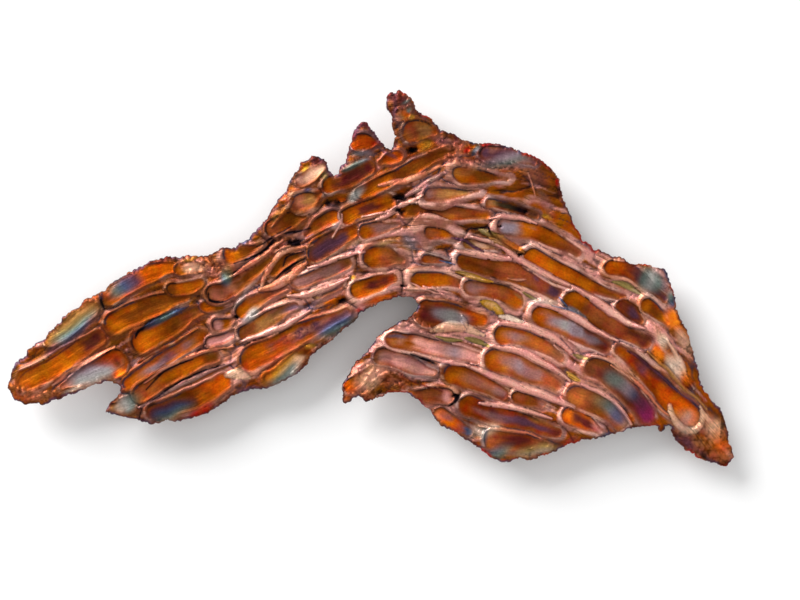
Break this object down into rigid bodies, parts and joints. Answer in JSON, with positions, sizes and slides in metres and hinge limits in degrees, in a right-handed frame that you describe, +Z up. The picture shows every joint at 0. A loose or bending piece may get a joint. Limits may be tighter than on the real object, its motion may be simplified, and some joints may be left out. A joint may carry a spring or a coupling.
{
  "type": "native copper sheet",
  "caption": "Ragged natural sheet of native copper, with long oval lobes lying over one another like scales and short spires on one edge.",
  "frame": {"origin": "on the ground, below the middle of the sheet's bounding box", "axes": "+Z up through the lobed face, +X along the length from the left arm's tip towards the rough tail, +Y towards the spires"},
  "size_m": [0.2424, 0.1256, 0.0142],
  "materials": {
    "heat_coloured_copper": "natural copper, satin to glossy, with amber, maroon and salmon pink tones and violet, blue and teal heat colours near the edges"
  },
  "bodies": {
    "root": {"copper_sheet": "heat_coloured_copper"}
  },
  "joints": []
}
